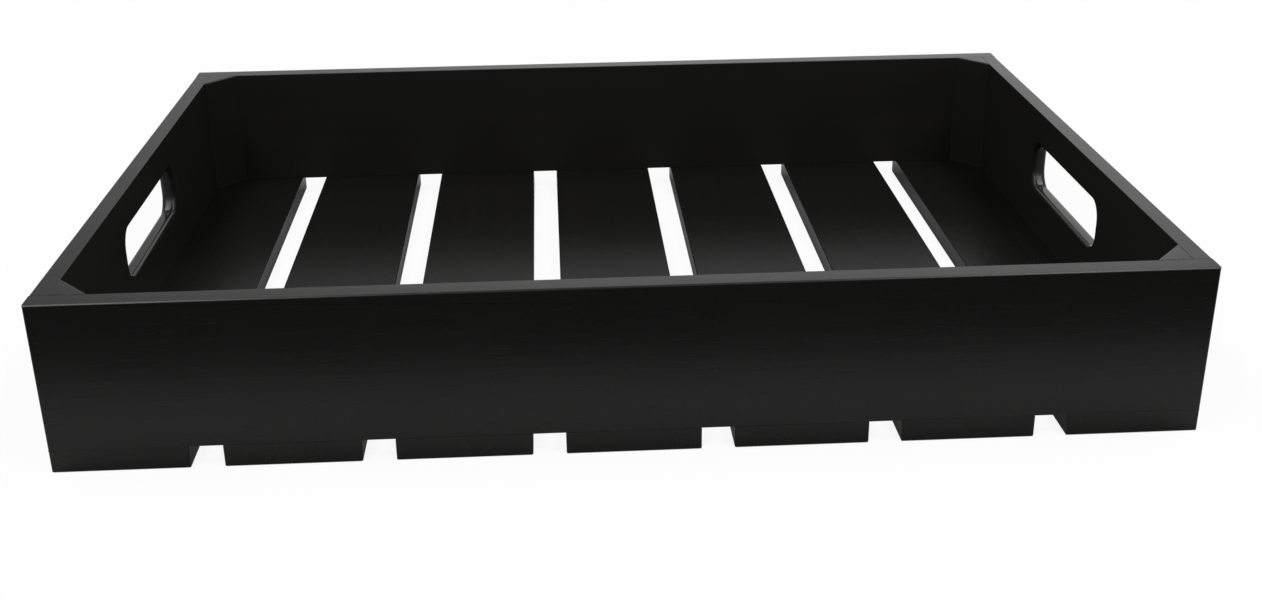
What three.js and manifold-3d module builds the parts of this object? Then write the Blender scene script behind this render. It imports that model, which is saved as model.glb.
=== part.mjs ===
// A shallow display crate of black-painted wood. Bottom slats lie front to back with gaps between
// them, four wall boards stand on the slats, a three-cornered block is glued into each inside
// corner, and set nails hold the boards together. Millimetres, +Z up. The origin is the middle of
// the underside, and the front wall faces -Y.
import * as THREE from "three";
import { mergeVertices } from "three/addons/utils/BufferGeometryUtils.js";
import Module from "manifold-3d";

// Bottom slats. Their number, width and spacing make the crate's width.
const SLAT_COUNT = 7;
const SLAT_WIDTH = 54;
const SLAT_GAP = 13.2;
const SLAT_THICKNESS = 9.5;

// Wall boards. The long walls run the full width, and the thinner end walls fit between them.
const CRATE_DEPTH = 330;
const WALL_HEIGHT = 62;
const LONG_WALL_THICKNESS = 9.5;
const END_WALL_THICKNESS = 7.5;

// Hand hole through each end wall, with its edges rounded over on both faces.
const HAND_HOLE_LENGTH = 96;
const HAND_HOLE_HEIGHT = 22.5;
const HAND_HOLE_CORNER_RADIUS = 8;
const HAND_HOLE_CORNER_STEPS = 6;
const HAND_HOLE_BELOW_RIM = 17;
const HAND_HOLE_EDGE_RADIUS = 2.5;
const HAND_HOLE_EDGE_STEPS = 4;

// Three-cornered block in each inside corner: its legs along the long wall and the end wall.
const CORNER_BLOCK_WIDTH = 14.5;
const CORNER_BLOCK_DEPTH = 16;

// Film of glue between two boards that meet.
const GLUE_LINE = 0.1;

// Nails, each in a hole that is wider by a clearance all round.
const NAIL_LENGTH = 25;
const NAIL_RADIUS = 0.8;
const NAIL_POINT_LENGTH = 3;
const NAIL_HEAD_RADIUS = 1.4;
const NAIL_HEAD_HEIGHT = 1;
const NAIL_SIDES = 8;
const NAIL_SET_DEPTH = 0.8;
const NAIL_CLEARANCE = 0.1;
const NAIL_HOLE_OVERRUN = 1;

// Where the nails go: from a slat's long edges, from a wall's upper and lower edges, and between
// the two nails under an end wall.
const SLAT_NAIL_INSET = 13;
const CORNER_NAIL_INSET = 14;
const END_NAIL_SPACING = 150;

// Sizes that follow from the ones above.
const CRATE_WIDTH = SLAT_COUNT * SLAT_WIDTH + (SLAT_COUNT - 1) * SLAT_GAP;
const SLAT_PITCH = SLAT_WIDTH + SLAT_GAP;
const WALL_BASE = SLAT_THICKNESS + GLUE_LINE;
const LONG_WALL_Y = (CRATE_DEPTH - LONG_WALL_THICKNESS) / 2;
const END_WALL_X = (CRATE_WIDTH - END_WALL_THICKNESS) / 2;
const END_WALL_LENGTH = CRATE_DEPTH - 2 * (LONG_WALL_THICKNESS + GLUE_LINE);

// The ends and sides of the crate, with the sign of their coordinate.
const FRONT_AND_BACK = { front: -1, back: 1 };
const LEFT_AND_RIGHT = { left: -1, right: 1 };
const DOWN = new THREE.Vector3(0, 0, -1);
const LATHE_AXIS = new THREE.Vector3(0, 1, 0);

const wasm = await Module();
wasm.setup();

function paintedWood() {
  return new THREE.MeshStandardMaterial({ color: 0x1d1c1b, roughness: 0.55, metalness: 0 });
}

function nailSteel() {
  return new THREE.MeshStandardMaterial({ color: 0x56585a, roughness: 0.45, metalness: 1 });
}

// A closed geometry as a solid that can be cut.
function solidOf(geometry) {
  const bare = geometry.clone();
  bare.deleteAttribute("normal");
  bare.deleteAttribute("uv");
  const merged = mergeVertices(bare);
  const mesh = new wasm.Mesh({
    numProp: 3,
    vertProperties: new Float32Array(merged.attributes.position.array),
    triVerts: new Uint32Array(merged.index.array),
  });
  return new wasm.Manifold(mesh);
}

// A solid as a geometry again, with one normal for each flat face.
function geometryOf(solid) {
  const mesh = solid.getMesh();
  const shared = new THREE.BufferGeometry();
  shared.setAttribute("position", new THREE.BufferAttribute(mesh.vertProperties, 3));
  shared.setIndex(new THREE.BufferAttribute(mesh.triVerts, 1));
  const geometry = shared.toNonIndexed();
  geometry.computeVertexNormals();
  return geometry;
}

const crate = new THREE.Group();
const boards = {};

function addBoard(name, geometry, x, y, z) {
  const board = new THREE.Mesh(geometry, paintedWood());
  board.name = name;
  board.position.set(x, y, z);
  boards[name] = board;
  crate.add(board);
  return board;
}

function addBottomSlats() {
  const geometry = new THREE.BoxGeometry(SLAT_WIDTH, CRATE_DEPTH, SLAT_THICKNESS);
  for (let i = 0; i < SLAT_COUNT; i += 1) {
    addBoard(`bottom_slat_${i + 1}`, geometry, slatX(i), 0, SLAT_THICKNESS / 2);
  }
}

// Middle of a slat, counted from the left.
function slatX(i) {
  return (i - (SLAT_COUNT - 1) / 2) * SLAT_PITCH;
}

function addLongWalls() {
  const geometry = new THREE.BoxGeometry(CRATE_WIDTH, LONG_WALL_THICKNESS, WALL_HEIGHT);
  for (const [end, sign] of Object.entries(FRONT_AND_BACK)) {
    addBoard(`${end}_wall`, geometry, 0, sign * LONG_WALL_Y, WALL_BASE + WALL_HEIGHT / 2);
  }
}

// Outline of the hand hole on the end wall, or of its rounded-over edge where it is grown. The
// wall's lower edge is at height 0.
function handHoleOutline(growth) {
  const radius = Math.min(HAND_HOLE_CORNER_RADIUS, HAND_HOLE_LENGTH / 2, HAND_HOLE_HEIGHT / 2);
  const reach = HAND_HOLE_LENGTH / 2 - radius;
  const upper = WALL_HEIGHT - HAND_HOLE_BELOW_RIM - radius;
  const lower = upper - HAND_HOLE_HEIGHT + 2 * radius;
  const quarter = Math.PI / 2;
  const outline = new THREE.Path();
  outline.absarc(reach, upper, radius + growth, 0, quarter);
  outline.absarc(-reach, upper, radius + growth, quarter, 2 * quarter);
  outline.absarc(-reach, lower, radius + growth, 2 * quarter, 3 * quarter);
  outline.absarc(reach, lower, radius + growth, 3 * quarter, 4 * quarter);
  outline.closePath();
  return outline;
}

// The end wall is drawn flat, with its length along X and its height along Y. A panel with the
// rounded-over hole in it is sawn to the wall's length and height, and then stood up with its
// length along Y.
function addEndWalls() {
  const left = -END_WALL_LENGTH / 2 - HAND_HOLE_EDGE_RADIUS;
  const lower = -HAND_HOLE_EDGE_RADIUS;
  const upper = WALL_HEIGHT + HAND_HOLE_EDGE_RADIUS;
  const panel = new THREE.Shape([
    new THREE.Vector2(left, lower),
    new THREE.Vector2(-left, lower),
    new THREE.Vector2(-left, upper),
    new THREE.Vector2(left, upper),
  ]);
  panel.holes.push(handHoleOutline(HAND_HOLE_EDGE_RADIUS));
  const rounded = new THREE.ExtrudeGeometry(panel, {
    depth: END_WALL_THICKNESS - 2 * HAND_HOLE_EDGE_RADIUS,
    bevelThickness: HAND_HOLE_EDGE_RADIUS,
    bevelSize: HAND_HOLE_EDGE_RADIUS,
    bevelSegments: HAND_HOLE_EDGE_STEPS,
    curveSegments: HAND_HOLE_CORNER_STEPS,
  });
  rounded.translate(0, 0, HAND_HOLE_EDGE_RADIUS - END_WALL_THICKNESS / 2);
  const kept = new THREE.BoxGeometry(END_WALL_LENGTH, WALL_HEIGHT, 2 * END_WALL_THICKNESS);
  kept.translate(0, WALL_HEIGHT / 2, 0);
  const geometry = geometryOf(solidOf(rounded).intersect(solidOf(kept)));
  geometry.rotateX(Math.PI / 2);
  geometry.rotateZ(Math.PI / 2);
  for (const [side, sign] of Object.entries(LEFT_AND_RIGHT)) {
    addBoard(`${side}_end_wall`, geometry, sign * END_WALL_X, 0, WALL_BASE);
  }
}

// The blocks stand on the outermost slats and end flush with the rim.
function addCornerBlocks() {
  const x = CRATE_WIDTH / 2 - END_WALL_THICKNESS - GLUE_LINE;
  const y = CRATE_DEPTH / 2 - LONG_WALL_THICKNESS - GLUE_LINE;
  for (const [end, ySign] of Object.entries(FRONT_AND_BACK)) {
    for (const [side, xSign] of Object.entries(LEFT_AND_RIGHT)) {
      const section = new THREE.Shape([
        new THREE.Vector2(0, 0),
        new THREE.Vector2(-xSign * CORNER_BLOCK_WIDTH, 0),
        new THREE.Vector2(0, -ySign * CORNER_BLOCK_DEPTH),
      ]);
      const upright = { depth: WALL_HEIGHT, bevelEnabled: false };
      const geometry = new THREE.ExtrudeGeometry(section, upright);
      addBoard(`corner_block_${end}_${side}`, geometry, xSign * x, ySign * y, WALL_BASE);
    }
  }
}

// Half section of a nail, or of its hole where it is widened. Height 0 is the wood's face, the
// point is below it, and the top is the head's or the hole's upper end.
function nailSection(widening, top) {
  const point = -NAIL_SET_DEPTH - NAIL_LENGTH;
  const shoulder = -NAIL_SET_DEPTH - NAIL_HEAD_HEIGHT - widening;
  return [
    new THREE.Vector2(0, point - widening),
    new THREE.Vector2(NAIL_RADIUS + widening, point + NAIL_POINT_LENGTH),
    new THREE.Vector2(NAIL_RADIUS + widening, shoulder),
    new THREE.Vector2(NAIL_HEAD_RADIUS + widening, shoulder),
    new THREE.Vector2(NAIL_HEAD_RADIUS + widening, top),
    new THREE.Vector2(0, top),
  ];
}

function nailHole() {
  return new THREE.LatheGeometry(nailSection(NAIL_CLEARANCE, NAIL_HOLE_OVERRUN), NAIL_SIDES);
}

// A nail through a point on the wood's face, with its head towards outward, and the holes for it
// in the boards that it joins.
function driveNail(name, joinedBoards, x, y, z, outward) {
  const section = nailSection(0, -NAIL_SET_DEPTH);
  const nail = new THREE.Mesh(new THREE.LatheGeometry(section, NAIL_SIDES), nailSteel());
  nail.name = name;
  nail.position.set(x, y, z);
  nail.quaternion.setFromUnitVectors(LATHE_AXIS, outward);
  nail.updateMatrix();
  for (const board of joinedBoards) {
    board.updateMatrix();
    const hole = nailHole();
    hole.applyMatrix4(board.matrix.clone().invert().multiply(nail.matrix));
    board.geometry = geometryOf(solidOf(board.geometry).subtract(solidOf(hole)));
  }
  crate.add(nail);
}

// Two nails through each end of each slat, up into the middle of the long wall above it.
function nailSlatsToLongWalls() {
  for (let i = 0; i < SLAT_COUNT; i += 1) {
    for (const [end, ySign] of Object.entries(FRONT_AND_BACK)) {
      for (const [side, xSign] of Object.entries(LEFT_AND_RIGHT)) {
        const x = slatX(i) + xSign * (SLAT_WIDTH / 2 - SLAT_NAIL_INSET);
        const joined = [boards[`bottom_slat_${i + 1}`], boards[`${end}_wall`]];
        driveNail(`slat_nail_${i + 1}_${end}_${side}`, joined, x, ySign * LONG_WALL_Y, 0, DOWN);
      }
    }
  }
}

// Two nails through each outermost slat, up into the end wall above it.
function nailSlatsToEndWalls() {
  const outermost = { left: 1, right: SLAT_COUNT };
  for (const [side, xSign] of Object.entries(LEFT_AND_RIGHT)) {
    for (const [end, ySign] of Object.entries(FRONT_AND_BACK)) {
      const y = (ySign * END_NAIL_SPACING) / 2;
      const joined = [boards[`bottom_slat_${outermost[side]}`], boards[`${side}_end_wall`]];
      driveNail(`end_nail_${side}_${end}`, joined, xSign * END_WALL_X, y, 0, DOWN);
    }
  }
}

// Two nails at each corner, through the long wall into the end of the end wall.
function nailCorners() {
  const heights = { lower: CORNER_NAIL_INSET, upper: WALL_HEIGHT - CORNER_NAIL_INSET };
  for (const [end, ySign] of Object.entries(FRONT_AND_BACK)) {
    const outward = new THREE.Vector3(0, ySign, 0);
    const y = (ySign * CRATE_DEPTH) / 2;
    for (const [side, xSign] of Object.entries(LEFT_AND_RIGHT)) {
      const joined = [boards[`${end}_wall`], boards[`${side}_end_wall`]];
      for (const [level, height] of Object.entries(heights)) {
        const name = `corner_nail_${end}_${side}_${level}`;
        driveNail(name, joined, xSign * END_WALL_X, y, WALL_BASE + height, outward);
      }
    }
  }
}

addBottomSlats();
addLongWalls();
addEndWalls();
addCornerBlocks();
nailSlatsToLongWalls();
nailSlatsToEndWalls();
nailCorners();

export default crate;
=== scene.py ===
"""Looks of a black-painted wooden display crate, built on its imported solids."""

import math

import bmesh
import bpy
from bpy.props import FloatProperty, FloatVectorProperty, PointerProperty
from mathutils import Euler, Matrix, Vector


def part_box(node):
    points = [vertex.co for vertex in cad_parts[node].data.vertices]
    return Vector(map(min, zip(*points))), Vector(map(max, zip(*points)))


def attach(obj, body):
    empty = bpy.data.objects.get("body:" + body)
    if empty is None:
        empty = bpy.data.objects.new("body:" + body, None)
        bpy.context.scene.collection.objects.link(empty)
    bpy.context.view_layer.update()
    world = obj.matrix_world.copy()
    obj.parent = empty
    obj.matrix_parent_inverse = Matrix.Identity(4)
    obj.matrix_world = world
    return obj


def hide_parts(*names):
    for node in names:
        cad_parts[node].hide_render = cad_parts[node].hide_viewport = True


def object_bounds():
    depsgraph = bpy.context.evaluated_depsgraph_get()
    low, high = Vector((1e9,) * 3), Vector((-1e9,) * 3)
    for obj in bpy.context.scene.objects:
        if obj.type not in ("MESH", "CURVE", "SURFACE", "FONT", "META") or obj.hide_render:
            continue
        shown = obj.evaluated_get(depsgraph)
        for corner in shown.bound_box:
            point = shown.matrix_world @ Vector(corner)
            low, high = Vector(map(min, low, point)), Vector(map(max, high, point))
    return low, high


bl_info = {
    "name": "Display Crate",
    "version": (1, 0, 0),
    "blender": (4, 5, 0),
    "location": "3D View > Sidebar > Crate",
    "description": "Builds a black-painted display crate with a slatted bottom on its frame",
    "category": "Object",
}

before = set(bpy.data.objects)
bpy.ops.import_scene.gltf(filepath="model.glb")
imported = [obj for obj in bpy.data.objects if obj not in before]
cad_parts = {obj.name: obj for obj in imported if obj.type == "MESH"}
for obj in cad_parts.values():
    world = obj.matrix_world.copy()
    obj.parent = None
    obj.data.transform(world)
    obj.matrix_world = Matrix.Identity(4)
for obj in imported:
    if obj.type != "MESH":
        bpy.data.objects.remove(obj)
CAD_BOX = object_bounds()

BODY = "root"
X, Y, Z = Vector((1, 0, 0)), Vector((0, 1, 0)), Vector((0, 0, 1))
LEVEL = Matrix.Identity(4)

# Boards: TOUCH is the slack for lying in a plane, SHARP the fold that makes an edge
TOUCH = 1e-5
SHARP = math.radians(50)
FACING = math.cos(SHARP)
EASE_STEPS = 3
BORE_SIDES = 16
HOLE_CORNER_STEPS = 8
HOLE_EDGE_STEPS = 6
GRAIN_SHIFT = Vector((0.731, 0.417, 0.559))

# Patterns: noise as scale, detail, roughness, distortion; ranges as from low, high, to low, high
GRAIN_NOISE, GRAIN_RANGE = (1.0, 4.0, 0.6, 0.4), (0.3, 0.7, 0.0, 1.0)
PORE_NOISE, PORE_RANGE = (1.0, 1.0, 0.5), (0.60, 0.72, 0.0, 1.0)
DRIFT_NOISE, DRIFT_RANGE = (0.06, 2.0, 0.5), (0.3, 0.7, 0.0, 1.0)
RUB_NOISE, RUB_RANGE = (45.0, 3.0, 0.65), (0.42, 0.66, 0.0, 1.0)
DULL_NOISE, DULL_RANGE = (26.0, 3.0, 0.55), (0.3, 0.7, 0.0, 1.0)
CHIP_NOISE, CHIP_RANGE = (900.0, 3.0, 0.6), (0.60, 0.64, 0.0, 1.0)
FILM_NOISE = (520.0, 2.0, 0.5)
EDGE_RANGE = (0.995, 0.90, 0.0, 1.0)

# Grain lines and pores to the metre, along and across the grain
GRAIN_DENSITY = (5, 240)
PORE_DENSITY = (70, 1500)

# How far each pattern works on the paint's colour, roughness and height
WEAR_REACH = 0.0012
WEAR_SAMPLES = 6
WEAR_SHARE = 0.35
DULL_SPREAD = 0.04
PORE_ROUGHNESS = 0.04
PORE_SINK = 0.45
FILM_RISE = 0.25
LONG_WALL_END_DULLING = 0.15
END_WALL_END_DULLING = 0.3
NAIL_ROUGHNESS = 0.42
NAIL_DULL_SPREAD = 0.15
NAIL_FILM_DEPTH = 0.00003

# The stage: places in metres, and ranges as from low, high, to low, high
FLOOR_LOW, FLOOR_HIGH = Vector((-1.6, -0.246, -0.0002)), Vector((2.6, 3.0, -0.0002))
FLOOR_EDGE = 0.045
BACKDROP_LOW, BACKDROP_HIGH = Vector((-2.6, 0, 0)), Vector((1.8, 2.3, 0))
BACKDROP_FADE = (-1.4, 0.1, 0.42, 1.0)
BLACK = (0, 0, 0, 1)
WHITE = (1, 1, 1, 1)
PLAIN_WHITE = (0.8, 0.8, 0.8, 1)
LIT_WHITE = (0.68, 0.68, 0.68, 1)
HORIZON = (-0.05, 0.15)
SHADOW_SHARE = 0.07
SHADOW_REACH = (0.35, 0.8)
CONTACT_REACH = 0.045
CONTACT_SAMPLES = 8
# Painted shade on the floor's glow where it is closed in: as the camera sees it, then in reflections
CONTACT_SHADE = (0.75, 1.0, 0.0, 0.3)
MIRRORED_SHADE = (0.15, 0.5, 0.33, 0.88)
SENSOR_WIDTH = 36.0
CLIP_NEAR, CLIP_FAR = 0.01, 100.0

# Lamps: name, place, width and height, the stage's value for the power, seen in reflections
LAMPS = (
    ("front_left_softbox", (-0.72, -1.15, 1.35), (0.5, 0.9), "key_power", True),
    ("front_right_softbox", (0.80, -1.15, 1.35), (0.5, 0.9), "key_power", True),
    ("overhead_left_softbox", (-0.64, -0.05, 1.5), (1.6, 0.35), "top_power", True),
    ("overhead_right_softbox", (0.70, -0.05, 1.5), (1.6, 0.35), "top_power", True),
    ("left_softbox", (-1.5, -0.1, 0.25), (1.4, 0.4), "side_power", False),
    ("right_softbox", (1.5, -0.1, 0.25), (1.4, 0.4), "side_power", False),
)


def nodes_named(start):
    """Names of the solids that start with a word, in order."""
    return sorted(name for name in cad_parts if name.startswith(start))


class CrateSizes(bpy.types.PropertyGroup):
    """Sizes of the crate's finish work."""

    edge_ease: FloatProperty(
        name="Edge ease", description="Rounding of the edges that hands touch",
        default=0.0008, min=0.0001, unit="LENGTH")
    slat_ease: FloatProperty(
        name="Slat ease", description="Rounding of the slats' long edges",
        default=0.0006, min=0.0001, unit="LENGTH")
    joint_ease: FloatProperty(
        name="Joint ease", description="Hairline rounding where two boards meet",
        default=0.00006, min=0.00001, unit="LENGTH")
    hole_length: FloatProperty(
        name="Hand hole length", description="Length of the hand hole inside its rounded edge",
        default=0.096, min=0.02, unit="LENGTH")
    hole_height: FloatProperty(
        name="Hand hole height", description="Height of the hand hole inside its rounded edge",
        default=0.0225, min=0.01, unit="LENGTH")
    hole_below_rim: FloatProperty(
        name="Hand hole below rim", description="Wood between the hand hole and the rim",
        default=0.017, min=0.004, unit="LENGTH")
    hole_corner: FloatProperty(
        name="Hand hole corner", description="Corner radius of the hand hole",
        default=0.008, min=0.001, unit="LENGTH")
    hole_edge: FloatProperty(
        name="Hand hole edge", description="Round-over along the hand hole on both faces",
        default=0.0025, min=0.0005, unit="LENGTH")
    pocket_radius: FloatProperty(
        name="Nail pocket radius", description="Pocket under a set nail in the slats' underside",
        default=0.0016, min=0.001, unit="LENGTH")
    filled_radius: FloatProperty(
        name="Filled nail radius", description="Filled dimple over a set nail in a long wall",
        default=0.0017, min=0.001, unit="LENGTH")
    filled_depth: FloatProperty(
        name="Filled nail depth", description="How far the filler has sunk over a nail",
        default=0.00008, min=0.0, unit="LENGTH")


class CrateFinish(bpy.types.PropertyGroup):
    """Colours and gloss of the crate's paint, and the painted light and shade on its insides and slats.
    """

    paint: FloatVectorProperty(
        name="Paint", description="Black paint where it lies thick",
        default=(0.0060, 0.0058, 0.0055), size=3, min=0, max=1, subtype="COLOR")
    thin_paint: FloatVectorProperty(
        name="Thin paint", description="Paint where the grain has drunk some of it",
        default=(0.0077, 0.0072, 0.0066), size=3, min=0, max=1, subtype="COLOR")
    worn_paint: FloatVectorProperty(
        name="Worn paint", description="Paint that is rubbed thin along the edges",
        default=(0.020, 0.018, 0.015), size=3, min=0, max=1, subtype="COLOR")
    nail_paint: FloatVectorProperty(
        name="Nail paint", description="Paint on the set nails",
        default=(0.012, 0.0115, 0.011), size=3, min=0, max=1, subtype="COLOR")
    nail_steel: FloatVectorProperty(
        name="Nail steel", description="Steel where the paint on a nail has chipped",
        default=(0.24, 0.25, 0.26), size=3, min=0, max=1, subtype="COLOR")
    roughness: FloatProperty(
        name="Paint roughness", description="Roughness of the satin paint",
        default=0.27, min=0, max=1, subtype="FACTOR")
    inside_dryness: FloatProperty(
        name="Inside dryness", description="How much rougher the paint is on the walls' inside faces",
        default=0.11, min=0, max=1, subtype="FACTOR")
    # Painted light: this lightens the paint on the walls' inside faces and the corner blocks' sides,
    # standing in for light falling there
    inside_painted_light: FloatProperty(
        name="Inside tone", description="Tone of the paint on the walls' inside faces, outside being 1",
        default=1.28, min=0.2, max=4)
    # Painted shade: this darkens the paint on the slats' broad faces, standing in for shade falling
    # there
    slat_painted_shade: FloatProperty(
        name="Slat tone", description="Tone of the paint on the slats' broad faces, outside being 1",
        default=0.88, min=0.2, max=4)
    hand_polish: FloatProperty(
        name="Hand polish", description="How much smoother hands have rubbed the hand holes",
        default=0.14, min=0, max=1, subtype="FACTOR")
    outside_gloss: FloatProperty(
        name="Outside gloss", description="Strength of the reflection on the outside and the rim",
        default=0.26, min=0, max=1, subtype="FACTOR")
    inside_gloss: FloatProperty(
        name="Inside gloss", description="Strength of the reflection on the walls' inside faces",
        default=0.125, min=0, max=1, subtype="FACTOR")
    slat_gloss: FloatProperty(
        name="Slat gloss", description="Strength of the reflection on the slats' broad faces",
        default=0.1, min=0, max=1, subtype="FACTOR")
    grain_depth: FloatProperty(
        name="Grain depth", description="Depth of the grain that shows through the paint",
        default=0.00002, min=0, unit="LENGTH")


class CrateStage(bpy.types.PropertyGroup):
    """Floor, light and camera."""

    floor: FloatVectorProperty(
        name="Floor", description="White of the floor and backdrop",
        default=(1.0, 1.0, 1.0), size=3, min=0, max=1, subtype="COLOR")
    room_above: FloatProperty(
        name="Room above", description="Light of the room above the floor",
        default=0.2, min=0, max=1, subtype="FACTOR")
    room_mirrored: FloatProperty(
        name="Room mirrored", description="Light of the room above the floor in reflections",
        default=0.55, min=0, max=1, subtype="FACTOR")
    room_below: FloatProperty(
        name="Room below", description="Light of the room below the floor",
        default=0.03, min=0, max=1, subtype="FACTOR")
    key_power: FloatProperty(
        name="Front lamps", description="Power of each soft lamp at the front",
        default=10.0, min=0, unit="POWER")
    top_power: FloatProperty(
        name="Overhead lamps", description="Power of each long soft lamp overhead",
        default=12.0, min=0, unit="POWER")
    side_power: FloatProperty(
        name="Side lamps", description="Power of each soft lamp at the sides",
        default=6.5, min=0, unit="POWER")
    camera_place: FloatVectorProperty(
        name="Camera place", description="Where the camera stands",
        default=(-0.02843, -0.69611, 0.29956), size=3, subtype="TRANSLATION", unit="LENGTH")
    camera_turn: FloatVectorProperty(
        name="Camera turn", description="How the camera is turned",
        default=(math.radians(66.289), math.radians(0.6006), math.radians(-3.2505)), size=3,
        subtype="EULER", unit="ROTATION")
    camera_lens: FloatProperty(
        name="Camera lens", description="Focal length in millimetres", default=43.448, min=1)


# Node trees

def add_node(tree, kind, values=None, **settings):
    """Add a node, set its options, and give its named inputs a value or a link."""
    node = tree.nodes.new(kind)
    for name, value in settings.items():
        setattr(node, name, value)
    for name, value in (values or {}).items():
        if isinstance(value, bpy.types.NodeSocket):
            tree.links.new(value, node.inputs[name])
        else:
            node.inputs[name].default_value = value
    return node


def maths(tree, operation, *values):
    """Result of a sum on numbers and sockets."""
    inputs = dict(enumerate(values))
    return add_node(tree, "ShaderNodeMath", inputs, operation=operation).outputs[0]


def vector_maths(tree, operation, first, second):
    """Node of a sum on two vectors."""
    return add_node(tree, "ShaderNodeVectorMath", {0: first, 1: second}, operation=operation)


def stretched(tree, vector, by):
    """Coordinates multiplied along each axis."""
    return vector_maths(tree, "MULTIPLY", vector, by).outputs[0]


def solid(colour, painted_shading=1.0):
    """A colour scaled by painted shading, with its alpha."""
    return (*(part * painted_shading for part in colour), 1)


def blend(tree, factor, low, high):
    """Colour between two colours."""
    node = add_node(tree, "ShaderNodeMix", {0: factor, 6: low, 7: high}, data_type="RGBA")
    return node.outputs[2]


def blend_value(tree, factor, low, high):
    """Number between two numbers."""
    return add_node(tree, "ShaderNodeMix", {0: factor, 2: low, 3: high}).outputs[0]


def span(tree, value, from_low, from_high, to_low, to_high):
    """Value carried from one range to another, and held at its ends."""
    inputs = {"Value": value, "From Min": from_low, "From Max": from_high,
              "To Min": to_low, "To Max": to_high}
    return add_node(tree, "ShaderNodeMapRange", inputs, clamp=True).outputs[0]


def noise(tree, vector, scale, detail, roughness, distortion=0.0):
    """Noise from 0 to 1."""
    inputs = {"Vector": vector, "Scale": scale, "Detail": detail, "Roughness": roughness,
              "Distortion": distortion}
    return add_node(tree, "ShaderNodeTexNoise", inputs).outputs["Fac"]


def new_group(name, inputs, outputs):
    """An empty shader group with its named sockets."""
    tree = bpy.data.node_groups.new(name, "ShaderNodeTree")
    for label, kind in inputs:
        tree.interface.new_socket(label, in_out="INPUT", socket_type=kind)
    for label, kind in outputs:
        tree.interface.new_socket(label, in_out="OUTPUT", socket_type=kind)
    return tree, tree.nodes.new("NodeGroupInput").outputs, tree.nodes.new("NodeGroupOutput").inputs


def wood_grain_group():
    """Grain lines, pores and slow drift along a board, and the dulling of faces across an axis."""
    name = "wood_grain"
    if name in bpy.data.node_groups:
        return bpy.data.node_groups[name]
    tree, given, put = new_group(
        name,
        [("Vector", "NodeSocketVector"), ("Face Dulling", "NodeSocketVector"),
         ("Grain Stretch", "NodeSocketVector"), ("Pore Stretch", "NodeSocketVector")],
        [("Grain", "NodeSocketFloat"), ("Pores", "NodeSocketFloat"),
         ("Drift", "NodeSocketFloat"), ("Dulling", "NodeSocketFloat")])
    along = stretched(tree, given["Vector"], given["Grain Stretch"])
    lines = noise(tree, along, *GRAIN_NOISE)
    tree.links.new(span(tree, lines, *GRAIN_RANGE), put["Grain"])
    pores = noise(tree, stretched(tree, given["Vector"], given["Pore Stretch"]), *PORE_NOISE)
    tree.links.new(span(tree, pores, *PORE_RANGE), put["Pores"])
    drift = noise(tree, along, *DRIFT_NOISE)
    tree.links.new(span(tree, drift, *DRIFT_RANGE), put["Drift"])
    facing = add_node(tree, "ShaderNodeNewGeometry").outputs["Normal"]
    share = stretched(tree, facing, facing)
    dulling = vector_maths(tree, "DOT_PRODUCT", share, given["Face Dulling"])
    tree.links.new(dulling.outputs["Value"], put["Dulling"])
    return tree


def edge_wear_group():
    """Rubbed edges: where the surface turns within a short reach, broken up by noise."""
    name = "edge_wear"
    if name in bpy.data.node_groups:
        return bpy.data.node_groups[name]
    tree, given, put = new_group(
        name, [("Vector", "NodeSocketVector"), ("Reach", "NodeSocketFloat")],
        [("Wear", "NodeSocketFloat")])
    rounded = add_node(tree, "ShaderNodeBevel", {"Radius": given["Reach"]}, samples=WEAR_SAMPLES)
    facing = add_node(tree, "ShaderNodeNewGeometry").outputs["Normal"]
    alike = vector_maths(tree, "DOT_PRODUCT", rounded.outputs[0], facing).outputs["Value"]
    edge = span(tree, alike, *EDGE_RANGE)
    patches = span(tree, noise(tree, given["Vector"], *RUB_NOISE), *RUB_RANGE)
    tree.links.new(maths(tree, "MULTIPLY", edge, patches), put["Wear"])
    return tree


def paint_film_group():
    """Fine unevenness of a paint film, and the dull patches that hands leave."""
    name = "paint_film"
    if name in bpy.data.node_groups:
        return bpy.data.node_groups[name]
    tree, given, put = new_group(
        name, [("Vector", "NodeSocketVector")],
        [("Film", "NodeSocketFloat"), ("Dullness", "NodeSocketFloat")])
    tree.links.new(noise(tree, given["Vector"], *FILM_NOISE), put["Film"])
    dull = noise(tree, given["Vector"], *DULL_NOISE)
    tree.links.new(span(tree, dull, *DULL_RANGE), put["Dullness"])
    return tree


def new_material(name):
    """An empty material, with its tree and its Principled shader."""
    material = bpy.data.materials.new(name)
    material.use_nodes = True
    return material, material.node_tree, material.node_tree.nodes["Principled BSDF"]


def group_node(tree, group, values):
    """A group placed in a material, with its own values."""
    return add_node(tree, "ShaderNodeGroup", values, node_tree=group)


def emboss(tree, shader, height, depth):
    """Raise a height pattern on the shader's surface."""
    values = {"Strength": 1.0, "Distance": depth, "Height": height}
    tree.links.new(add_node(tree, "ShaderNodeBump", values).outputs[0], shader.inputs["Normal"])


def along_grain(axis, along, across):
    """Pattern density along each axis, for grain that runs on one of them."""
    return tuple(along if part else across for part in axis)


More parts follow.
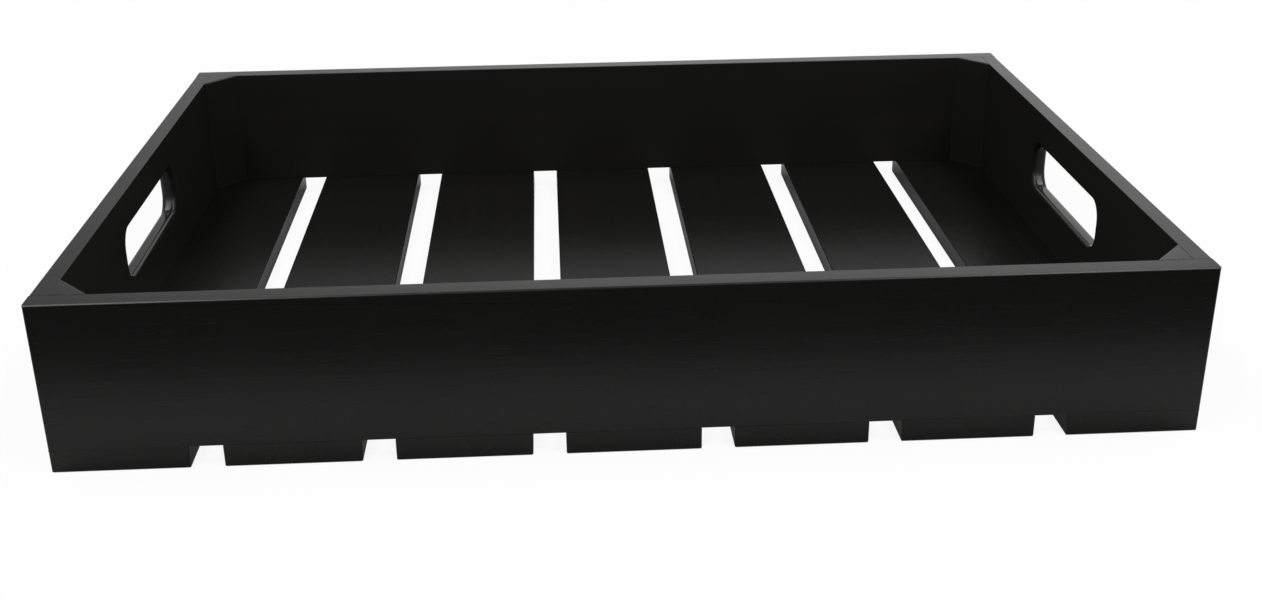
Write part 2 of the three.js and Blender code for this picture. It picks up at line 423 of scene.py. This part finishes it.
def painted_wood(name, axis, gloss, dulling=(0, 0, 0), painted_shading=1.0):
    """Satin black paint over wood with its grain on an axis, dulled on the faces across each axis, its
    colour scaled by painted shading.
    """
    if name in bpy.data.materials:
        return bpy.data.materials[name]
    finish = bpy.context.scene.crate_finish
    material, tree, shader = new_material(name)
    place = add_node(tree, "ShaderNodeTexCoord").outputs["Object"]
    shift = add_node(tree, "ShaderNodeAttribute", attribute_name="board_shift").outputs["Vector"]
    own = vector_maths(tree, "ADD", place, shift).outputs[0]
    grain = group_node(tree, wood_grain_group(), {
        "Vector": own, "Face Dulling": dulling,
        "Grain Stretch": along_grain(axis, *GRAIN_DENSITY),
        "Pore Stretch": along_grain(axis, *PORE_DENSITY)}).outputs
    film = group_node(tree, paint_film_group(), {"Vector": own}).outputs
    wear = group_node(tree, edge_wear_group(), {"Vector": own, "Reach": WEAR_REACH}).outputs["Wear"]
    drunk = maths(tree, "MULTIPLY", grain["Grain"], grain["Drift"])
    # Painted shading scales the paint's colour here: lighter on the walls' insides and block sides,
    # darker on the slats' broad faces
    body = blend(tree, drunk, solid(finish.paint, painted_shading), solid(finish.thin_paint, painted_shading))
    rubbed = maths(tree, "MULTIPLY", wear, WEAR_SHARE)
    colour = blend(tree, rubbed, body, solid(finish.worn_paint))
    tree.links.new(colour, shader.inputs["Base Color"])
    rough = maths(tree, "MULTIPLY_ADD", film["Dullness"], DULL_SPREAD,
                  finish.roughness - DULL_SPREAD / 2)
    rough = maths(tree, "MULTIPLY_ADD", grain["Pores"], PORE_ROUGHNESS, rough)
    rough = maths(tree, "ADD", grain["Dulling"], rough)
    handled = add_node(tree, "ShaderNodeAttribute", attribute_name="handled").outputs["Fac"]
    rough = maths(tree, "MULTIPLY_ADD", handled, -finish.hand_polish, rough)
    tree.links.new(rough, shader.inputs["Roughness"])
    height = maths(tree, "MULTIPLY_ADD", grain["Pores"], -PORE_SINK, grain["Grain"])
    height = maths(tree, "MULTIPLY_ADD", film["Film"], FILM_RISE, height)
    emboss(tree, shader, height, finish.grain_depth)
    shader.inputs["Specular IOR Level"].default_value = gloss
    return material


def long_wall_paints():
    """Paint of a long wall's outside and rim, and of its inside, which is lightened as painted light.
    """
    finish = bpy.context.scene.crate_finish
    return (painted_wood("painted_long_walls", X, finish.outside_gloss, X * LONG_WALL_END_DULLING),
            painted_wood("painted_long_wall_insides", X, finish.inside_gloss,
                         Y * finish.inside_dryness, finish.inside_painted_light))


def end_wall_paints():
    """Paint of an end wall's outside, rim and hand hole, and of its inside, which is lightened as
    painted light.
    """
    finish = bpy.context.scene.crate_finish
    return (painted_wood("painted_end_walls", Y, finish.outside_gloss, Y * END_WALL_END_DULLING),
            painted_wood("painted_end_wall_insides", Y, finish.inside_gloss,
                         X * finish.inside_dryness, finish.inside_painted_light))


def slat_paints():
    """Paint of a slat's broad faces, which are darkened as painted shade, and of its edges and ends."""
    finish = bpy.context.scene.crate_finish
    return (painted_wood("painted_slats", Y, finish.slat_gloss, painted_shading=finish.slat_painted_shade),
            painted_wood("painted_slat_edges", Y, finish.outside_gloss))


def block_paints():
    """Paint of a corner block's top, and of its sides, which are lightened as painted light."""
    finish = bpy.context.scene.crate_finish
    return (painted_wood("painted_corner_blocks", Z, finish.outside_gloss),
            painted_wood("painted_corner_block_sides", Z, finish.slat_gloss,
                         (X + Y) * finish.inside_dryness, finish.inside_painted_light))


def painted_nail():
    """Black paint on the set nails, chipped to the steel in places."""
    finish = bpy.context.scene.crate_finish
    material, tree, shader = new_material("painted_nails")
    place = add_node(tree, "ShaderNodeTexCoord").outputs["Object"]
    film = group_node(tree, paint_film_group(), {"Vector": place}).outputs
    chips = span(tree, noise(tree, place, *CHIP_NOISE), *CHIP_RANGE)
    colour = blend(tree, chips, solid(finish.nail_paint), solid(finish.nail_steel))
    tree.links.new(colour, shader.inputs["Base Color"])
    tree.links.new(chips, shader.inputs["Metallic"])
    rough = maths(tree, "MULTIPLY_ADD", film["Dullness"], NAIL_DULL_SPREAD, NAIL_ROUGHNESS)
    tree.links.new(rough, shader.inputs["Roughness"])
    emboss(tree, shader, film["Film"], NAIL_FILM_DEPTH)
    shader.inputs["Specular IOR Level"].default_value = finish.outside_gloss
    return material


# Boards

def square_board(low, high):
    """A square-edged board that fills the box between two corners."""
    bm = bmesh.new()
    place = Matrix.Translation((low + high) / 2) @ Matrix.Diagonal((*(high - low), 1))
    bmesh.ops.create_cube(bm, size=1, matrix=place)
    bm.normal_update()
    return bm


def rectangle(bm, middle, width, height, turn=LEVEL):
    """Corners of a flat rectangle, laid round its middle and then turned."""
    flat = Matrix.Translation(middle) @ Matrix.Diagonal((width, height, 1, 1))
    made = bmesh.ops.create_grid(bm, x_segments=1, y_segments=1, size=0.5, matrix=turn @ flat)
    return made["verts"]


def inset(bm, face, margin):
    """Frame a face with a margin of one width."""
    bmesh.ops.inset_region(bm, faces=[face], thickness=margin, use_boundary=True,
                           use_even_offset=True)


def corners_in(parts):
    """The corners among the parts of a mesh."""
    return [part for part in parts if isinstance(part, bmesh.types.BMVert)]


def thicken(bm, thickness):
    """Make flat faces a closed board by raising a copy of them."""
    raised = bmesh.ops.extrude_face_region(bm, geom=bm.faces[:], use_keep_orig=True)["geom"]
    bmesh.ops.translate(bm, verts=corners_in(raised), vec=Z * thickness)
    bmesh.ops.recalc_face_normals(bm, faces=bm.faces)


def face_towards(bm, direction):
    """The face that looks most nearly in a direction."""
    return max(bm.faces, key=lambda face: face.normal.dot(direction))


def use_second_paint(bm, takes_it):
    """Give a piece's second paint to the faces whose way of facing takes it."""
    bm.normal_update()
    for face in bm.faces:
        face.material_index = int(takes_it(face.normal))


def cut_across(bm, axis, places):
    """Add corners along the edges at these places, so that an ease can stop there."""
    for place in places:
        everything = bm.verts[:] + bm.edges[:] + bm.faces[:]
        bmesh.ops.bisect_plane(bm, geom=everything, plane_co=axis * place, plane_no=axis)


def ring_edges(verts):
    """Edges whose two ends are both among these corners, each once and in order."""
    inside = set(verts)
    edges = (edge for vert in verts for edge in vert.link_edges if set(edge.verts) <= inside)
    return list(dict.fromkeys(edges))


def bore(bm, face, centres, radius, depth):
    """Sink round pockets with flat bottoms into a flat face."""
    normal = face.normal.copy()
    turn = normal.to_track_quat("Z", "Y").to_matrix().to_4x4()
    rim = face.edges[:]
    bmesh.ops.delete(bm, geom=[face], context="FACES_ONLY")
    mouths = []
    for centre in centres:
        circle = bmesh.ops.create_circle(bm, segments=BORE_SIDES, radius=radius,
                                         matrix=Matrix.Translation(centre) @ turn)
        mouths.append(ring_edges(circle["verts"]))
    outlines = rim + [edge for mouth in mouths for edge in mouth]
    bmesh.ops.triangle_fill(bm, edges=outlines, use_beauty=True, normal=normal)
    for mouth in mouths:
        sunk = corners_in(bmesh.ops.extrude_edge_only(bm, edges=mouth)["geom"])
        bmesh.ops.translate(bm, verts=sunk, vec=-normal * depth)
        bmesh.ops.edgeloop_fill(bm, edges=ring_edges(sunk))
    bmesh.ops.recalc_face_normals(bm, faces=bm.faces)


def add_piece(bm, name, node, paints, ease_at):
    """Make a board an object in the node's place, with its sharp edges eased."""
    sizes = bpy.context.scene.crate_sizes
    bm.normal_update()
    weight = bm.edges.layers.float.new("bevel_weight_edge")
    for edge in bm.edges:
        if edge.is_manifold and edge.calc_face_angle() > SHARP:
            edge[weight] = ease_at((edge.verts[0].co + edge.verts[1].co) / 2) / sizes.edge_ease
    mesh = bpy.data.meshes.new(name)
    bm.to_mesh(mesh)
    bm.free()
    mesh.shade_smooth()
    for paint in paints:
        mesh.materials.append(paint)
    piece = bpy.data.objects.new(name, mesh)
    bpy.context.scene.collection.objects.link(piece)
    ease = piece.modifiers.new("eased_edges", "BEVEL")
    ease.limit_method = "WEIGHT"
    ease.width = sizes.edge_ease
    ease.segments = EASE_STEPS
    ease.use_clamp_overlap = False
    piece.modifiers.new("flat_faces", "WEIGHTED_NORMAL").keep_sharp = True
    # Each board takes its grain from another part of the pattern
    own_grain = GRAIN_SHIFT * len(bpy.data.meshes)
    shift = mesh.attributes.new("board_shift", "FLOAT_VECTOR", "POINT")
    shift.data.foreach_set("vector", list(own_grain) * len(mesh.vertices))
    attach(piece, BODY)
    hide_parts(node)
    return piece


class CRATE_OT_long_walls(bpy.types.Operator):
    """Builds the front and back walls, with their filled nails"""

    bl_idname = "crate.long_walls"
    bl_label = "Long Walls"

    def execute(self, context):
        sizes = context.scene.crate_sizes
        for end, outward in (("front", -Y), ("back", Y)):
            low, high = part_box(f"{end}_wall")
            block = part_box(f"corner_block_{end}_right")[0].x
            bm = square_board(low, high)
            nails = [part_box(name) for name in nodes_named(f"corner_nail_{end}")]
            outer = face_towards(bm, outward)
            level = outer.calc_center_median().y
            centres = [Vector(((a.x + b.x) / 2, level, (a.z + b.z) / 2)) for a, b in nails]
            bore(bm, outer, centres, sizes.filled_radius, sizes.filled_depth)
            use_second_paint(bm, lambda facing: facing.dot(-outward) > FACING)
            cut_across(bm, X, (-block, block))

            def ease_at(point):
                """Rounding of the edge through a point."""
                outside = abs(point.y - level) < TOUCH
                if point.z < low.z + TOUCH:
                    return sizes.joint_ease
                if point.z > high.z - TOUCH:
                    return sizes.edge_ease if outside or abs(point.x) < block else sizes.joint_ease
                if outside and abs(point.x) > high.x - TOUCH:
                    return sizes.edge_ease
                return sizes.joint_ease

            add_piece(bm, f"{end}_wall_board", f"{end}_wall", long_wall_paints(), ease_at)
        return {"FINISHED"}


class CRATE_OT_end_walls(bpy.types.Operator):
    """Builds the two end walls, with a rounded-over hand hole through each"""

    bl_idname = "crate.end_walls"
    bl_label = "End Walls"

    def execute(self, context):
        sizes = context.scene.crate_sizes
        for side, outward in (("left", -X), ("right", X)):
            low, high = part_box(f"{side}_end_wall")
            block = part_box(f"corner_block_back_{side}")[0].y
            bm = self.holed_board(high - low, sizes)
            # Stands the board up: its length onto Y, its height onto Z, its thickness onto X
            stand = Matrix(((0, 0, 1, low.x), (1, 0, 0, 0), (0, 1, 0, low.z), (0, 0, 0, 1)))
            bmesh.ops.transform(bm, matrix=stand, verts=bm.verts)
            use_second_paint(bm, lambda facing: facing.dot(-outward) > FACING)
            cut_across(bm, Y, (-block, block))

            def ease_at(point):
                """Rounding of the edge through a point."""
                on_rim = point.z > high.z - TOUCH
                inside = abs(point.x) < min(abs(low.x), abs(high.x)) + TOUCH
                if on_rim and abs(point.y) < (block if inside else high.y - TOUCH):
                    return sizes.edge_ease
                return sizes.joint_ease

            add_piece(bm, f"{side}_end_wall_board", f"{side}_end_wall",
                      end_wall_paints(), ease_at)
        return {"FINISHED"}

    @staticmethod
    def holed_board(size, sizes):
        """An end wall laid flat: its length on X, its height on Y from 0 up, its thickness on Z."""
        thickness, length, height = size
        margin = 2 * sizes.hole_edge
        bm = bmesh.new()
        middle = Vector((0, height - sizes.hole_below_rim - sizes.hole_height / 2, 0))
        rectangle(bm, middle, sizes.hole_length + 2 * margin, sizes.hole_height + 2 * margin)
        bmesh.ops.bevel(bm, geom=bm.verts[:], offset=sizes.hole_corner + margin,
                        segments=HOLE_CORNER_STEPS, profile=0.5, affect="VERTICES", material=-1)
        hole = bm.faces[:][0]
        inset(bm, hole, margin)
        hole_frame = [edge for edge in bm.edges if edge.is_boundary]
        bmesh.ops.delete(bm, geom=[hole], context="FACES_ONLY")
        corners = rectangle(bm, Vector((0, height / 2, 0)), length, height)
        panel = corners[0].link_faces[0]
        inset(bm, panel, margin)
        panel_frame = panel.edges[:]
        bmesh.ops.delete(bm, geom=[panel], context="FACES_ONLY")
        bmesh.ops.triangle_fill(bm, edges=hole_frame + panel_frame, use_beauty=True, normal=Z)
        thicken(bm, thickness)
        reach = sizes.hole_length / 2 + TOUCH
        lip = [edge for edge in bm.edges
               if edge.calc_face_angle(0) > SHARP
               and abs(edge.verts[0].co.z - edge.verts[1].co.z) < TOUCH
               and all(abs(v.co.x) < reach and TOUCH < v.co.y < height - TOUCH for v in edge.verts)]
        bmesh.ops.bevel(bm, geom=lip, offset=sizes.hole_edge, offset_type="OFFSET",
                        segments=HOLE_EDGE_STEPS, profile=0.5, affect="EDGES", material=-1)
        handled = bm.verts.layers.float.new("handled")
        for vert in bm.verts:
            vert[handled] = float(TOUCH < vert.co.z < thickness - TOUCH)
        return bm


class CRATE_OT_bottom_slats(bpy.types.Operator):
    """Builds the bottom slats, with a pocket under each set nail"""

    bl_idname = "crate.bottom_slats"
    bl_label = "Bottom Slats"

    def execute(self, context):
        sizes = context.scene.crate_sizes
        nails = [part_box(name) for name in nodes_named("slat_nail") + nodes_named("end_nail")]
        side = CAD_BOX[1].x
        for node in nodes_named("bottom_slat_"):
            low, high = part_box(node)
            bm = square_board(low, high)
            own = [(a, b) for a, b in nails if low.x < (a.x + b.x) / 2 < high.x]
            depth = own[0][0].z - low.z
            centres = [Vector(((a.x + b.x) / 2, (a.y + b.y) / 2, low.z)) for a, b in own]
            bore(bm, face_towards(bm, -Z), centres, sizes.pocket_radius, depth)
            use_second_paint(bm, lambda facing: abs(facing.z) < FACING)

            def ease_at(point):
                """Rounding of the edge through a point."""
                at_end = abs(point.y) > high.y - TOUCH
                on_top = point.z > high.z - TOUCH
                on_side = abs(point.x) > side - TOUCH
                on_outline = at_end or point.x < low.x + TOUCH or point.x > high.x - TOUCH
                if not on_outline or (on_top and (at_end or on_side)):
                    return sizes.joint_ease
                if at_end and on_side:
                    return sizes.edge_ease
                return sizes.slat_ease

            add_piece(bm, f"{node}_board", node, slat_paints(), ease_at)
        return {"FINISHED"}


class CRATE_OT_corner_blocks(bpy.types.Operator):
    """Builds the three-cornered block in each inside corner"""

    bl_idname = "crate.corner_blocks"
    bl_label = "Corner Blocks"

    def execute(self, context):
        sizes = context.scene.crate_sizes
        for node in nodes_named("corner_block_"):
            low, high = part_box(node)
            corner = Vector((low.x if low.x < 0 else high.x, low.y if low.y < 0 else high.y, low.z))
            far = low + high - corner
            bm = bmesh.new()
            outline = [corner, Vector((far.x, corner.y, low.z)), Vector((corner.x, far.y, low.z))]
            bm.faces.new([bm.verts.new(point) for point in outline])
            thicken(bm, high.z - low.z)
            use_second_paint(bm, lambda facing: abs(facing.z) < FACING)

            def ease_at(point):
                """Rounding of the edge through a point."""
                free = abs(point.x - corner.x) > TOUCH and abs(point.y - corner.y) > TOUCH
                on_rim = point.z > high.z - TOUCH
                return sizes.edge_ease if free and on_rim else sizes.joint_ease

            add_piece(bm, f"{node}_wood", node, block_paints(), ease_at)
        return {"FINISHED"}


class CRATE_OT_nails(bpy.types.Operator):
    """Paints the set nails"""

    bl_idname = "crate.nails"
    bl_label = "Nails"

    def execute(self, context):
        material = painted_nail()
        for name in nodes_named("slat_nail") + nodes_named("end_nail") + nodes_named("corner_nail"):
            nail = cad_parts[name]
            nail.data.materials.clear()
            nail.data.materials.append(material)
        return {"FINISHED"}


class CRATE_OT_stage(bpy.types.Operator):
    """Sets the floor, the backdrop, the lamps, the room and the camera"""

    bl_idname = "crate.stage"
    bl_label = "Stage"

    def execute(self, context):
        stage = context.scene.crate_stage
        context.scene.view_settings.view_transform = "Standard"
        self.lay_floor(stage)
        self.hang_backdrop(stage)
        for name, place, size, power, mirrored in LAMPS:
            self.hang_lamp(name, place, size, getattr(stage, power), mirrored)
        self.light_room(context, stage)
        self.set_camera(context, stage)
        return {"FINISHED"}

    @staticmethod
    def sheet(name, low, high, turn, material):
        """A flat sheet between two corners, turned from the ground."""
        bm = bmesh.new()
        rectangle(bm, (low + high) / 2, high.x - low.x, high.y - low.y, turn)
        mesh = bpy.data.meshes.new(name)
        bm.to_mesh(mesh)
        bm.free()
        mesh.materials.append(material)
        sheet = bpy.data.objects.new(name, mesh)
        bpy.context.scene.collection.objects.link(sheet)
        return sheet

    @staticmethod
    def white_sheet(name, colour, find_glow):
        """White that the camera and reflections see glow, lit by the lamps only for its lit share."""
        material, tree, _ = new_material(name)
        tree.nodes.clear()
        path = add_node(tree, "ShaderNodeLightPath").outputs
        seen = maths(tree, "MAXIMUM", path["Is Camera Ray"], path["Is Glossy Ray"])
        seen = maths(tree, "MAXIMUM", seen, path["Is Transmission Ray"])
        glow, lit_share = find_glow(tree, path)
        glowing = add_node(tree, "ShaderNodeEmission", {"Color": solid(colour), "Strength": glow})
        lit = blend(tree, lit_share, BLACK, LIT_WHITE)
        shadow = add_node(tree, "ShaderNodeBsdfDiffuse", {"Color": lit})
        bright = add_node(tree, "ShaderNodeAddShader", {0: glowing.outputs[0], 1: shadow.outputs[0]})
        plain = add_node(tree, "ShaderNodeBsdfDiffuse", {"Color": PLAIN_WHITE})
        front = add_node(tree, "ShaderNodeMixShader",
                         {0: seen, 1: plain.outputs[0], 2: bright.outputs[0]})
        behind = add_node(tree, "ShaderNodeNewGeometry").outputs["Backfacing"]
        clear = add_node(tree, "ShaderNodeBsdfTransparent")
        sided = add_node(tree, "ShaderNodeMixShader",
                         {0: behind, 1: front.outputs[0], 2: clear.outputs[0]})
        add_node(tree, "ShaderNodeOutputMaterial", {"Surface": sided.outputs[0]})
        return material

    @staticmethod
    def floor_glow(tree, path):
        """Glow of the floor: dimmed by painted shade in closed-in places, and shadowed by the lamps
        near the crate.
        """
        place = add_node(tree, "ShaderNodeTexCoord").outputs["Object"]
        away = add_node(tree, "ShaderNodeVectorMath", {0: place}, operation="LENGTH").outputs["Value"]
        inward = add_node(tree, "ShaderNodeSeparateXYZ", {0: place}).outputs["Y"]
        near = span(tree, away, *SHADOW_REACH, SHADOW_SHARE, 0)
        lit_share = maths(tree, "MULTIPLY", near,
                          span(tree, inward, FLOOR_LOW.y, FLOOR_LOW.y + FLOOR_EDGE, 0, 1))
        # Painted contact shadow: ambient occlusion dims the glow where the floor is closed in, and more
        # in reflections
        open_share = add_node(tree, "ShaderNodeAmbientOcclusion", {"Distance": CONTACT_REACH},
                              samples=CONTACT_SAMPLES).outputs["AO"]
        closed = maths(tree, "SUBTRACT", 1, open_share)
        shade = blend_value(tree, path["Is Glossy Ray"], span(tree, closed, *CONTACT_SHADE),
                            span(tree, closed, *MIRRORED_SHADE))
        unlit = maths(tree, "SUBTRACT", 1, lit_share)
        return maths(tree, "MULTIPLY", unlit, maths(tree, "SUBTRACT", 1, shade)), lit_share

    @staticmethod
    def backdrop_glow(tree, path):
        """Glow of the backdrop: it fades towards the left, and the lamps don't light it."""
        place = add_node(tree, "ShaderNodeTexCoord").outputs["Object"]
        across = add_node(tree, "ShaderNodeSeparateXYZ", {0: place}).outputs["X"]
        return span(tree, across, *BACKDROP_FADE), 0

    def lay_floor(self, stage):
        """Lay the white floor under the crate."""
        white = self.white_sheet("white_floor", stage.floor, self.floor_glow)
        self.sheet("floor", FLOOR_LOW, FLOOR_HIGH, LEVEL, white)

    def hang_backdrop(self, stage):
        """Hang the white backdrop, which shows only in reflections."""
        white = self.white_sheet("white_backdrop", stage.floor, self.backdrop_glow)
        upright = Matrix.Translation(Y * FLOOR_HIGH.y) @ Matrix.Rotation(math.radians(90), 4, "X")
        backdrop = self.sheet("backdrop", BACKDROP_LOW, BACKDROP_HIGH, upright, white)
        backdrop.visible_camera = False

    @staticmethod
    def hang_lamp(name, place, size, power, mirrored):
        """A soft lamp that faces the crate, and may show in its reflections."""
        lamp = bpy.data.lights.new(name, "AREA")
        lamp.shape = "RECTANGLE"
        lamp.size, lamp.size_y = size
        lamp.energy = power
        softbox = bpy.data.objects.new(name, lamp)
        softbox.location = place
        softbox.rotation_euler = (-Vector(place)).to_track_quat("-Z", "Y").to_euler()
        softbox.visible_camera = False
        softbox.visible_glossy = mirrored
        bpy.context.scene.collection.objects.link(softbox)

    @staticmethod
    def light_room(context, stage):
        """Fill the room with soft light, dimmer below the horizon and white to the camera."""
        world = bpy.data.worlds.new("white_room")
        world.use_nodes = True
        tree = world.node_tree
        ground = tree.nodes["Background"]
        path = add_node(tree, "ShaderNodeLightPath").outputs
        towards = add_node(tree, "ShaderNodeTexCoord").outputs["Generated"]
        upward = add_node(tree, "ShaderNodeSeparateXYZ", {0: towards}).outputs["Z"]
        above = blend_value(tree, path["Is Glossy Ray"], stage.room_above, stage.room_mirrored)
        room = span(tree, upward, *HORIZON, stage.room_below, above)
        ground.inputs["Color"].default_value = WHITE
        tree.links.new(blend_value(tree, path["Is Camera Ray"], room, 1), ground.inputs["Strength"])
        context.scene.world = world

    @staticmethod
    def set_camera(context, stage):
        """Set the camera where the photograph was taken from."""
        lens = bpy.data.cameras.new("camera")
        lens.lens = stage.camera_lens
        lens.sensor_width = SENSOR_WIDTH
        lens.clip_start, lens.clip_end = CLIP_NEAR, CLIP_FAR
        camera = bpy.data.objects.new("camera", lens)
        camera.location = stage.camera_place
        camera.rotation_euler = Euler(stage.camera_turn, "XYZ")
        context.scene.collection.objects.link(camera)
        context.scene.camera = camera


OPERATORS = (
    CRATE_OT_long_walls,
    CRATE_OT_end_walls,
    CRATE_OT_bottom_slats,
    CRATE_OT_corner_blocks,
    CRATE_OT_nails,
    CRATE_OT_stage,
)


class CRATE_PT_panel(bpy.types.Panel):
    """Lists the crate's pieces and values"""

    bl_idname = "CRATE_PT_panel"
    bl_label = "Display Crate"
    bl_space_type = "VIEW_3D"
    bl_region_type = "UI"
    bl_category = "Crate"

    def draw(self, context):
        for operator in OPERATORS:
            self.layout.operator(operator.bl_idname)
        for group in (context.scene.crate_sizes, context.scene.crate_finish,
                      context.scene.crate_stage):
            box = self.layout.box()
            for name in group.__annotations__:
                box.prop(group, name)


CLASSES = (CrateSizes, CrateFinish, CrateStage, *OPERATORS, CRATE_PT_panel)


def register():
    """Add the crate's values, operators and panel to Blender."""
    for each in CLASSES:
        bpy.utils.register_class(each)
    bpy.types.Scene.crate_sizes = PointerProperty(type=CrateSizes)
    bpy.types.Scene.crate_finish = PointerProperty(type=CrateFinish)
    bpy.types.Scene.crate_stage = PointerProperty(type=CrateStage)


def unregister():
    """Take them away again."""
    del bpy.types.Scene.crate_stage
    del bpy.types.Scene.crate_finish
    del bpy.types.Scene.crate_sizes
    for each in reversed(CLASSES):
        bpy.utils.unregister_class(each)


def main():
    """Build every piece and the stage."""
    register()
    bpy.ops.crate.long_walls()
    bpy.ops.crate.end_walls()
    bpy.ops.crate.bottom_slats()
    bpy.ops.crate.corner_blocks()
    bpy.ops.crate.nails()
    bpy.ops.crate.stage()


if __name__ == "__main__":
    main()
